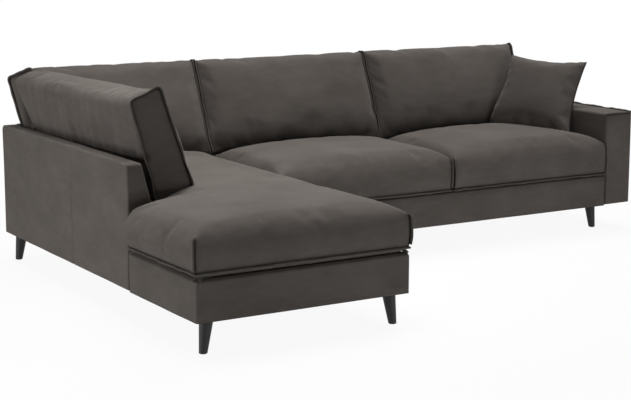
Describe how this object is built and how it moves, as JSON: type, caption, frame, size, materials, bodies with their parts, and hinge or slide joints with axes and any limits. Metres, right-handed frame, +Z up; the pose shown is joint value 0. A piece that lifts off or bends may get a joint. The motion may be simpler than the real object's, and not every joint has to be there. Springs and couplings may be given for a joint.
{
  "type": "corner sofa",
  "caption": "Corner sofa with a long chaise on the left, loose crowned seat and back cushions, a scatter cushion, a square box arm and short splayed legs.",
  "frame": {"origin": "on the floor under the middle of the whole sofa", "axes": "+X along the width, from the chaise to the arm; +Y from the seats' front to the rear; +Z up"},
  "size_m": [3.004, 1.9733, 0.9069],
  "materials": {
    "upholstery": "soft brushed velour",
    "cushion_filling": "foam and fibre",
    "timber": "raw beech and plywood",
    "black_wood": "satin black lacquer",
    "steel": "zinc plated",
    "dust_cloth": "black non-woven",
    "black_plastic": "moulded"
  },
  "bodies": {
    "frame": {"arm_cover": "upholstery", "arm_frame": "timber", "back_panel_cover": "upholstery", "back_panel_frame": "timber", "chaise_cross_rail": "timber", "chaise_dust_cloth": "dust_cloth", "chaise_front_border": "upholstery", "chaise_front_rail": "timber", "chaise_left_border": "upholstery", "chaise_left_front_rail": "timber", "chaise_left_rear_rail": "timber", "chaise_leg_front_left": "black_wood", "chaise_leg_front_right": "black_wood", "chaise_leg_rear_left": "black_wood", "chaise_leg_rear_right": "black_wood", "chaise_rear_rail": "timber", "chaise_right_border": "upholstery", "chaise_right_rail": "timber", "chaise_springs": "steel", "corner_blocks": "timber", "corner_panel_cover": "upholstery", "corner_panel_frame": "timber", "floor_glides": "black_plastic", "joining_plates": "steel", "joining_screws": "steel", "leg_bolts": "steel", "leg_inserts": "steel", "panel_bolts": "steel", "side_panel_cover": "upholstery", "side_panel_frame": "timber", "sofa_centre_rail": "timber", "sofa_dust_cloth": "dust_cloth", "sofa_front_border": "upholstery", "sofa_front_rail": "timber", "sofa_left_rail": "timber", "sofa_leg_front_left": "black_wood", "sofa_leg_front_right": "black_wood", "sofa_leg_rear_left": "black_wood", "sofa_leg_rear_right": "black_wood", "sofa_rear_rail": "timber", "sofa_right_rail": "timber", "sofa_springs": "steel", "spring_clips": "black_plastic"},
    "chaise_seat": {"chaise_seat_cover": "upholstery", "chaise_seat_core": "cushion_filling"},
    "middle_seat": {"middle_seat_cover": "upholstery", "middle_seat_core": "cushion_filling"},
    "right_seat": {"right_seat_cover": "upholstery", "right_seat_core": "cushion_filling"},
    "corner_back": {"corner_back_cover": "upholstery", "corner_back_core": "cushion_filling"},
    "middle_back": {"middle_back_cover": "upholstery", "middle_back_core": "cushion_filling"},
    "right_back": {"right_back_cover": "upholstery", "right_back_core": "cushion_filling"},
    "side_back": {"side_back_cover": "upholstery", "side_back_core": "cushion_filling"},
    "scatter": {"scatter_cover": "upholstery", "scatter_core": "cushion_filling"}
  },
  "joints": [
    {"name": "chaise_seat_lift", "type": "slide", "parent": "frame", "child": "chaise_seat", "axis": [0, 0, 1], "range_m": [0, 0.4]},
    {"name": "middle_seat_lift", "type": "slide", "parent": "frame", "child": "middle_seat", "axis": [0, 0, 1], "range_m": [0, 0.4]},
    {"name": "right_seat_lift", "type": "slide", "parent": "frame", "child": "right_seat", "axis": [0, 0, 1], "range_m": [0, 0.4]},
    {"name": "corner_back_lift", "type": "slide", "parent": "chaise_seat", "child": "corner_back", "axis": [0, 0.3746, 0.9272], "range_m": [0, 0.32]},
    {"name": "middle_back_lift", "type": "slide", "parent": "middle_seat", "child": "middle_back", "axis": [0, 0.3746, 0.9272], "range_m": [0, 0.32]},
    {"name": "right_back_lift", "type": "slide", "parent": "right_seat", "child": "right_back", "axis": [0, 0.3746, 0.9272], "range_m": [0, 0.32]},
    {"name": "side_back_lift", "type": "slide", "parent": "chaise_seat", "child": "side_back", "axis": [0, 0, 1], "range_m": [0, 0.32]},
    {"name": "scatter_lift", "type": "slide", "parent": "right_back", "child": "scatter", "axis": [0, 0, 1], "range_m": [0, 0.4]}
  ]
}
